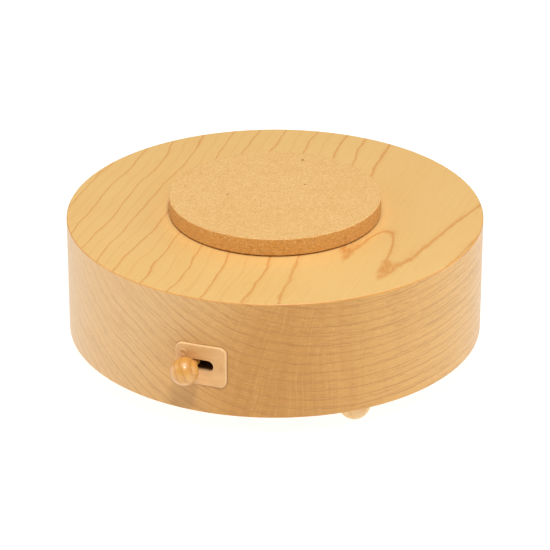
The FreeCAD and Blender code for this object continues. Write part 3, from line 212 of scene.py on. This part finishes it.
# ---- the case's wood: driving values, in millimetres ----
RING_WIDTH = 2.75               # between two of the case's growth rings
PITH_X = 36.0                   # the rings' centre line runs nearly along Y, above the block
PITH_ABOVE_TOP = 58.6
PITH_SLOPE = 0.04               # it comes down this much for each millimetre towards +Y
STRONG_RING = 60.0              # the distance of one ring's edge from the centre line
MEAN_RADIUS = 80.0              # a usual distance, which turns an angle into millimetres of arc
DENT_PLACE = (34.5, -16.0)      # where the rings dip, which gives the strong ring its notch
DENT_REACH = (4.0, 20.0)
DENT_DEPTH = 2.2
WANDER = 7.0                    # how far the rings stray sideways
SHIVER = 0.7                    # how far their edges stray outwards
RING_PROFILE = [(0.0, 1.0), (0.035, 0.5), (0.09, 0.0), (0.78, 0.0), (0.92, 0.14), (0.965, 0.45), (1.0, 1.0)]
HOLE_SHADE_RADII = (58.4, 57.2)     # inside the first, the wood of the hole's wall starts to get painted shade

# ---- the turned pieces' wood: driving values, in millimetres ----
TURNED_PITH = (9.0, 6.0)        # how far the rings' centre line is off the piece's middle, at least
TURNED_WANDER = 6.0
TURNED_PROFILE = [(0.0, 1.0), (0.10, 0.25), (0.25, 0.0), (0.60, 0.05), (0.90, 0.5), (1.0, 1.0)]


# ---- woods ----
def ring_strength(make, ring):
    """Rings count outwards from the strong one, 0. Odd ones are faint from 3 on, and none shows below 0."""
    odd = make.maths("PINGPONG", make.maths("ROUND", ring), 1.0)
    odd_strength = make.between(ring, 1.4, 1.6, 0.9, 0.3)
    strength = make.between(odd, 0.0, 1.0, 1.0, odd_strength)
    return make.multiply(strength, make.between(ring, -0.7, -0.5))


def ring_dent(make, x, y):
    """A soft local dip in the rings, 1 at its middle."""
    dent_x = make.maths("DIVIDE", make.maths("SUBTRACT", x, DENT_PLACE[0]), DENT_REACH[0])
    dent_y = make.maths("DIVIDE", make.maths("SUBTRACT", y, DENT_PLACE[1]), DENT_REACH[1])
    off_dent = make.vector("LENGTH", make.join(dent_x, dent_y, 0.0))
    return make.maths("EXPONENT", make.multiply(make.multiply(off_dent, off_dent), -1.0))


def case_rings(make, place):
    """How near a ring's edge a point is, how strong that ring is, and the place as (arc, distance, along)."""
    wander = make.noise(place, scale=(0.05, 0.030, 0.03), detail=2.0, rough=0.5, shift=11.7)
    shiver = make.noise(place, scale=(0.45, 0.20, 0.20), detail=3.0, rough=0.6, shift=7.3)
    x, y, z = make.split(place)
    across = make.maths("SUBTRACT", make.sway(x, wander, WANDER), PITH_X)
    above = make.maths("SUBTRACT", CASE_TOP * MILLIMETRES + PITH_ABOVE_TOP, z)
    rise = make.maths("MULTIPLY_ADD", y, -PITH_SLOPE, above)
    distance = make.vector("LENGTH", make.join(across, 0.0, rise))
    distance = make.maths("MULTIPLY_ADD", ring_dent(make, x, y), DENT_DEPTH, distance)
    distance = make.sway(distance, shiver, SHIVER)
    ring = make.maths("DIVIDE", make.maths("SUBTRACT", distance, STRONG_RING), RING_WIDTH)
    edge = make.ramp(make.maths("FRACT", ring), RING_PROFILE)
    arc = make.multiply(make.maths("ARCTAN2", across, rise), MEAN_RADIUS)
    return edge, ring_strength(make, ring), make.join(arc, distance, y)


def maple():
    """The case: one flat-sawn maple block. Its top shows ring lines, and its side is mostly end grain."""
    make = Nodes("maple")
    place = make.millimetres()
    ring_edge, strength, ringwise = case_rings(make, place)
    arc = make.split(ringwise)[0]

    # patterns that follow the rings, then patterns that follow the fibres
    rays = make.noise(ringwise, scale=(2.4, 0.05, 0.10), detail=3.0, rough=0.65)
    bands = make.noise(ringwise, scale=(0.16, 0.02, 0.05), detail=2.0, rough=0.5, shift=4.4)
    veins = make.noise(ringwise, scale=(0.030, 0.60, 0.02), detail=3.0, rough=0.6, shift=5.5)
    dashes = make.noise(ringwise, scale=(0.55, 3.2, 0.55), detail=4.0, rough=0.7, shift=8.2)
    fibres = make.noise(place, scale=(1.5, 0.06, 1.5), detail=4.0, rough=0.6)
    pores = make.noise(place, scale=(4.2, 0.30, 4.2), detail=2.0, rough=0.6, shift=5.0)
    clouds = make.noise(place, scale=(0.03, 0.018, 0.05), detail=2.0, rough=0.5, shift=1.9)
    warmth = make.noise(place, scale=(0.055, 0.03, 0.06), detail=3.0, rough=0.6, twist=0.5, shift=21.0)
    vein = make.between(make.maths("ABSOLUTE", make.maths("SUBTRACT", veins, 0.5)), 0.035, 0.0)

    # where each kind of cut is, and where painted sheen and shade go
    _, face_y, face_z = make.normal()
    flatness = make.maths("ABSOLUTE", face_z)
    side = make.between(flatness, 0.9, 0.45)
    end = make.multiply(make.maths("POWER", make.maths("ABSOLUTE", face_y), 3.0), side)
    radial = make.multiply(end, make.between(arc, -45.0, -8.0))
    lined = make.multiply(side, make.between(arc, -75.0, -35.0, 0.4, 1.0))
    # painted sheen: a paler band on the left of the side, standing in for the reflection of the left light
    painted_left_sheen = make.multiply(make.between(arc, -22.0, -60.0), side)
    # painted shade on the wall of the hole through the side, where light hardly reaches
    hole_shade = make.multiply(side, make.between(make.radius(place), *HOLE_SHADE_RADII))
    arris = make.multiply(make.between(flatness, 0.98, 0.85), make.between(flatness, 0.15, 0.45))
    end_share = make.between(arc, -38.0, -10.0, 0.52, 1.0)
    top_line = make.multiply(make.multiply(ring_edge, strength), make.between(side, 1.0, 0.0))

    # ground colours
    top_wood = make.mix(clouds, colour(0.89, 0.71, 0.42), colour(0.91, 0.745, 0.475))
    side_wood = make.mix(clouds, colour(0.85, 0.65, 0.36), colour(0.875, 0.685, 0.40))
    wood = make.mix(side, top_wood, side_wood)
    wood = make.stain(wood, end, end_share, colour(0.735, 0.50, 0.185))
    # painted sheen on the left of the side, laid into the colour
    wood = make.stain(wood, painted_left_sheen, 0.58, colour(0.90, 0.75, 0.54))
    wood = make.stain(wood, make.between(warmth, 0.52, 0.78), 0.12, colour(0.84, 0.60, 0.26))

    # rings, veins, rays and dashes
    wood = make.stain(wood, top_line, 0.72, colour(0.80, 0.49, 0.16))
    wood = make.stain(wood, make.multiply(ring_edge, lined), 0.46, colour(0.62, 0.38, 0.16))
    wood = make.stain(wood, make.multiply(vein, lined), 0.27, colour(0.60, 0.36, 0.15))
    dark_rays = make.multiply(make.between(rays, 0.50, 0.68), radial)
    pale_rays = make.multiply(make.between(rays, 0.48, 0.32), radial)
    dark_bands = make.multiply(make.between(bands, 0.48, 0.66), radial)
    dark_dashes = make.multiply(make.between(dashes, 0.53, 0.70), side)
    pale_dashes = make.multiply(make.between(dashes, 0.46, 0.30), side)
    wood = make.stain(wood, dark_rays, 0.24, colour(0.62, 0.40, 0.17))
    wood = make.stain(wood, pale_rays, 0.24, colour(0.92, 0.74, 0.46))
    wood = make.stain(wood, dark_bands, 0.4, colour(0.72, 0.48, 0.20))
    wood = make.stain(wood, dark_dashes, 0.26, colour(0.62, 0.36, 0.15))
    wood = make.stain(wood, pale_dashes, 0.26, colour(0.93, 0.78, 0.47))

    # fibres, the rounded edges, painted shade inside the hole and the pores
    wood = make.stain(wood, make.between(fibres, 0.50, 0.78), 0.20, colour(0.80, 0.56, 0.27))
    wood = make.stain(wood, arris, 0.6, colour(0.82, 0.54, 0.23))
    # painted shade inside the hole, dark brown
    wood = make.stain(wood, hole_shade, 0.8, colour(0.36, 0.20, 0.08))
    wood = make.stain(wood, make.between(pores, 0.62, 0.80), 0.20, colour(0.62, 0.38, 0.18))
    make.set(Base_Color=wood, Roughness=make.between(fibres, 0.3, 0.7, 0.36, 0.46))
    make.set(Sheen_Weight=0.10, Sheen_Roughness=0.4)
    make.bumps((fibres, 0.00004), (pores, 0.00003), (ring_edge, -0.00002))
    return make.material


def turned_wood(name, origin, turn, light, dark, line_colour, gloss, coat_roughness, ring_width, seed):
    """A small turned piece of close-grained wood. Its fibres run along the Y axis that turn gives."""
    make = Nodes(name)
    place = make.millimetres(turn, origin)
    wander = make.noise(place, scale=(0.16, 0.05, 0.16), detail=2.0, rough=0.5, shift=seed)
    fibres = make.noise(place, scale=(2.4, 0.16, 2.4), detail=4.0, rough=0.6, shift=seed)
    pores = make.noise(place, scale=(6.0, 0.5, 6.0), detail=2.0, rough=0.6, shift=seed)
    clouds = make.noise(place, scale=(0.14, 0.07, 0.14), detail=2.0, rough=0.5, twist=0.4, shift=seed + 4)
    x, _, z = make.split(place)
    across = make.maths("ADD", make.maths("MULTIPLY_ADD", wander, TURNED_WANDER, x), TURNED_PITH[0])
    reach = make.vector("LENGTH", make.join(across, 0.0, make.maths("ADD", z, TURNED_PITH[1])))
    phase = make.maths("FRACT", make.maths("DIVIDE", reach, ring_width))
    wood = make.mix(clouds, light, dark)
    wood = make.stain(wood, make.ramp(phase, TURNED_PROFILE), 0.55, line_colour)
    wood = make.stain(wood, make.between(fibres, 0.5, 0.8), 0.35, line_colour)
    wood = make.stain(wood, make.between(pores, 0.62, 0.8), 0.3, colour(0.55, 0.36, 0.18))
    make.set(Base_Color=wood, Roughness=make.between(fibres, 0.3, 0.7, 0.34, 0.46))
    make.set(Coat_Weight=gloss, Coat_Roughness=coat_roughness)
    make.bumps((fibres, 0.00003), (pores, 0.00002))
    return make.material


def foot_wood():
    """The feet: pale turned birch, with the fibres upright."""
    return turned_wood(
        "foot_wood",
        origin=(0.0, 0.0, 0.0),
        turn=(90.0, 0.0, 0.0),
        light=colour(0.94, 0.81, 0.59),
        dark=colour(0.90, 0.74, 0.50),
        line_colour=colour(0.82, 0.61, 0.35),
        gloss=0.15,
        coat_roughness=0.3,
        ring_width=2.2,
        seed=2.0,
    )


def knob_wood():
    """The stop knob: darker varnished wood, with the fibres along the lever."""
    outward = KNOB_MIDDLE - LEVER_PIVOT
    lever_turn = math.degrees(math.atan2(outward.x, -outward.y))
    return turned_wood(
        "knob_wood",
        origin=tuple(KNOB_MIDDLE),
        turn=(0.0, 0.0, lever_turn),
        light=colour(0.89, 0.67, 0.34),
        dark=colour(0.80, 0.54, 0.22),
        line_colour=colour(0.70, 0.43, 0.16),
        gloss=0.6,
        coat_roughness=0.14,
        ring_width=2.1,
        seed=6.0,
    )


def fibreboard():
    """Medium-density fibreboard: a smooth speckled face, and a coarser, darker sawn edge."""
    make = Nodes("fibreboard")
    place = make.millimetres()
    fuzz = make.noise(place, scale=(2.1, 2.1, 2.1), detail=6.0, rough=0.72, twist=0.6)
    dust = make.noise(place, scale=(4.5, 4.5, 4.5), detail=3.0, rough=0.7, shift=9.0)
    clumps = make.noise(place, scale=(0.35, 0.35, 0.35), detail=3.0, rough=0.55, twist=0.8, shift=4.0)
    clouds = make.noise(place, scale=(0.05, 0.05, 0.05), detail=2.0, rough=0.5, shift=2.0)
    layers = make.noise(place, scale=(0.9, 0.9, 3.4), detail=4.0, rough=0.65, shift=13.0)
    gap, cell = make.spots(place, 0.16, shift=3.0)
    rare = make.maths("GREATER_THAN", make.split(cell)[0], 0.72)
    dots = make.multiply(make.between(gap, 0.085, 0.03), rare)
    face_z = make.normal()[2]
    edge = make.between(make.maths("ABSOLUTE", face_z), 0.8, 0.3)
    torn = make.multiply(edge, make.between(layers, 0.48, 0.70))
    board = make.mix(clouds, colour(0.885, 0.70, 0.43), colour(0.905, 0.73, 0.47))
    board = make.stain(board, edge, 0.85, colour(0.88, 0.62, 0.27))
    board = make.stain(board, make.between(clumps, 0.35, 0.7), 0.28, colour(0.84, 0.63, 0.35))
    board = make.stain(board, make.between(fuzz, 0.5, 0.68), 0.55, colour(0.72, 0.49, 0.25))
    board = make.stain(board, make.between(fuzz, 0.48, 0.34), 0.55, colour(0.98, 0.86, 0.63))
    board = make.stain(board, make.between(dust, 0.54, 0.68), 0.5, colour(0.60, 0.38, 0.18))
    board = make.stain(board, torn, 0.6, colour(0.66, 0.41, 0.16))
    board = make.mix(dots, board, colour(0.42, 0.26, 0.13))
    make.set(Base_Color=board, Roughness=make.between(fuzz, 0.3, 0.7, 0.62, 0.8))
    make.bumps((fuzz, 0.00008), (dust, 0.00005))
    return make.material


# ---- plastic and metals ----
COLLAR_SHADE_RADII = (59.0, 57.6)     # millimetres: inside the first, the plate's collar starts to get painted shade


def plate_plastic():
    """The moulded tan plate: satin, with a painted highlight on its round rim. Its collar gets painted shade
    inside the wall.
    """
    make = Nodes("plate_plastic")
    place = make.millimetres()
    flow = make.noise(place, scale=(0.12, 0.12, 0.25), detail=2.0, rough=0.5, twist=1.2)
    grit = make.noise(place, scale=(7.0, 7.0, 7.0), detail=2.0, rough=0.6, shift=3.0)
    face_y = make.normal()[1]
    # painted highlight where the plate's face rounds over into its rim
    rim_highlight = make.between(make.maths("ABSOLUTE", face_y), 0.97, 0.75)
    # painted shade on the collar inside the wall, where light hardly reaches
    collar_shade = make.between(make.radius(place), *COLLAR_SHADE_RADII)
    tan = make.mix(make.between(flow, 0.3, 0.7), colour(0.85, 0.65, 0.41), colour(0.88, 0.69, 0.45))
    tan = make.stain(tan, make.between(grit, 0.55, 0.8), 0.18, colour(0.80, 0.60, 0.39))
    # painted highlight on the rounded rim, pale tan
    tan = make.stain(tan, rim_highlight, 0.6, colour(0.96, 0.81, 0.60))
    # painted shade inside the wall, dark brown
    tan = make.stain(tan, collar_shade, 0.85, colour(0.30, 0.16, 0.07))
    make.set(Base_Color=tan, Roughness=make.between(grit, 0.3, 0.7, 0.34, 0.44))
    make.set(Subsurface_Weight=0.08, Subsurface_Radius=(0.002, 0.0012, 0.0007), Specular_IOR_Level=0.5)
    make.bumps((grit, 0.000012))
    return make.material


def metal(name, bright, dull, rough, brushed, relief, seed):
    """A metal with a fine surface pattern, dull patches and uneven gloss."""
    make = Nodes(name)
    place = make.millimetres()
    finish = make.noise(place, scale=brushed, detail=4.0, rough=0.6, shift=seed)
    patches = make.noise(place, scale=(0.22, 0.22, 0.22), detail=4.0, rough=0.6, twist=0.5, shift=seed + 3)
    grime = make.noise(place, scale=(1.1, 1.1, 1.1), detail=5.0, rough=0.65, shift=seed + 8)
    surface = make.stain(bright, make.between(patches, 0.35, 0.75), 0.6, dull)
    surface = make.stain(surface, make.between(grime, 0.58, 0.8), 0.2, dull)
    make.set(Base_Color=surface, Metallic=1.0)
    make.set(Roughness=make.between(finish, 0.3, 0.7, rough, rough + 0.1))
    make.bumps((finish, relief))
    return make.material


def cast_zinc():
    """The bedplate's grey casting, with a grainy skin."""
    return metal(
        "cast_zinc",
        bright=colour(0.66, 0.67, 0.69),
        dull=colour(0.50, 0.51, 0.54),
        rough=0.42,
        brushed=(1.4, 1.4, 1.4),
        relief=0.00003,
        seed=1.0,
    )


def plated_steel():
    """Nickel-plated pressed and turned steel."""
    return metal(
        "plated_steel",
        bright=colour(0.83, 0.83, 0.82),
        dull=colour(0.68, 0.68, 0.68),
        rough=0.2,
        brushed=(1.0, 1.0, 8.0),
        relief=0.0000008,
        seed=2.0,
    )


def spring_steel():
    """Blued spring steel: the comb, the mainspring, the clutch spring and the clip."""
    return metal(
        "spring_steel",
        bright=colour(0.52, 0.54, 0.58),
        dull=colour(0.36, 0.38, 0.44),
        rough=0.26,
        brushed=(6.0, 0.8, 6.0),
        relief=0.0000008,
        seed=5.0,
    )


def screw_steel():
    """Zinc-plated screws."""
    return metal(
        "screw_steel",
        bright=colour(0.79, 0.78, 0.74),
        dull=colour(0.60, 0.59, 0.55),
        rough=0.26,
        brushed=(4.0, 4.0, 4.0),
        relief=0.000001,
        seed=7.0,
    )


def brass():
    """Machined brass: the wheels, the pinion, the drum, the barrel, the bush and the air brake."""
    return metal(
        "brass",
        bright=colour(0.89, 0.74, 0.43),
        dull=colour(0.72, 0.55, 0.28),
        rough=0.24,
        brushed=(5.0, 0.8, 5.0),
        relief=0.000001,
        seed=9.0,
    )


def dress_cad_nodes():
    """Gives every CAD node the material of its slot in the record."""
    makers = (
        maple, foot_wood, knob_wood, fibreboard, plate_plastic,
        cast_zinc, plated_steel, spring_steel, screw_steel, brass,
    )
    materials = {maker.__name__: maker() for maker in makers}
    for part in frame["record"]["subparts"]:
        slots = frame["nodes"][part["node"]].data.materials
        slots.clear()
        slots.append(materials[part["material_slot"]])


# ---- studio ----
def studio_floor():
    """A wide, pale, matt floor at the level that the feet stand on. It glows enough to stay white."""
    corners = [(x * FLOOR_REACH, y * FLOOR_REACH, 0.0) for x, y in ((-1, -1), (1, -1), (1, 1), (-1, 1))]
    mesh = bpy.data.meshes.new("studio_floor")
    mesh.from_pydata(corners, [], [(0, 1, 2, 3)])
    floor = bpy.data.objects.new("studio_floor", mesh)
    bpy.context.collection.objects.link(floor)
    make = Nodes("studio_floor")
    paper = make.noise(make.millimetres(), scale=(0.02, 0.02, 0.02), detail=3.0, rough=0.6)
    make.set(Base_Color=make.mix(paper, *FLOOR_GREYS), Roughness=0.9)
    make.set(Emission_Color=WHITE, Emission_Strength=FLOOR_GLOW)
    mesh.materials.append(make.material)


def direction_to(azimuth, elevation):
    """Points from the object to these angles. Azimuth 0 is on the knob's side, and 90 is on the +X side."""
    turn = math.radians(azimuth)
    lift = math.radians(elevation)
    return Vector((math.sin(turn) * math.cos(lift), -math.cos(turn) * math.cos(lift), math.sin(lift)))


def softbox(name, azimuth, elevation, distance, size, power):
    """A square light that points at the object."""
    data = bpy.data.lights.new(name, "AREA")
    data.shape = "SQUARE"
    data.size = size
    data.energy = power
    light = bpy.data.objects.new(name, data)
    bpy.context.collection.objects.link(light)
    back = direction_to(azimuth, elevation)
    light.location = Vector((0.0, 0.0, CASE_TOP / 2)) + distance * back
    light.rotation_euler = (-back).to_track_quat("-Z", "Y").to_euler()


def studio_lights():
    """A key light high in front, a wide one overhead, a soft one at each side, and an even white surround."""
    softbox("key_light", azimuth=25.0, elevation=57.0, distance=1.2, size=0.2, power=7.2)
    softbox("top_light", azimuth=20.0, elevation=80.0, distance=1.1, size=0.6, power=5.4)
    softbox("left_light", azimuth=-75.0, elevation=20.0, distance=1.2, size=0.8, power=3.5)
    softbox("right_light", azimuth=115.0, elevation=20.0, distance=1.2, size=0.8, power=4.1)
    world = bpy.data.worlds.new("studio")
    world.use_nodes = True
    background = world.node_tree.nodes["Background"]
    background.inputs["Color"].default_value = WHITE
    background.inputs["Strength"].default_value = SURROUND_STRENGTH
    bpy.context.scene.world = world
    bpy.context.scene.view_settings.view_transform = "Standard"


def camera():
    """The camera, aimed at the turntable's axis a little below the top face."""
    data = bpy.data.cameras.new("camera")
    data.sensor_width = CAMERA_SENSOR
    data.lens = CAMERA_LENS
    data.clip_start = CAMERA_NEAR
    data.clip_end = CAMERA_FAR
    view = bpy.data.objects.new("camera", data)
    bpy.context.collection.objects.link(view)
    back = direction_to(CAMERA_AZIMUTH, CAMERA_ELEVATION)
    view.location = Vector((0.0, 0.0, CASE_TOP)) + CAMERA_DISTANCE * back
    aim = Vector((0.0, 0.0, CASE_TOP - CAMERA_AIM_DROP))
    view.rotation_euler = (aim - view.location).to_track_quat("-Z", "Y").to_euler()
    bpy.context.scene.camera = view


camera()
studio_floor()
studio_lights()
dress_cad_nodes()
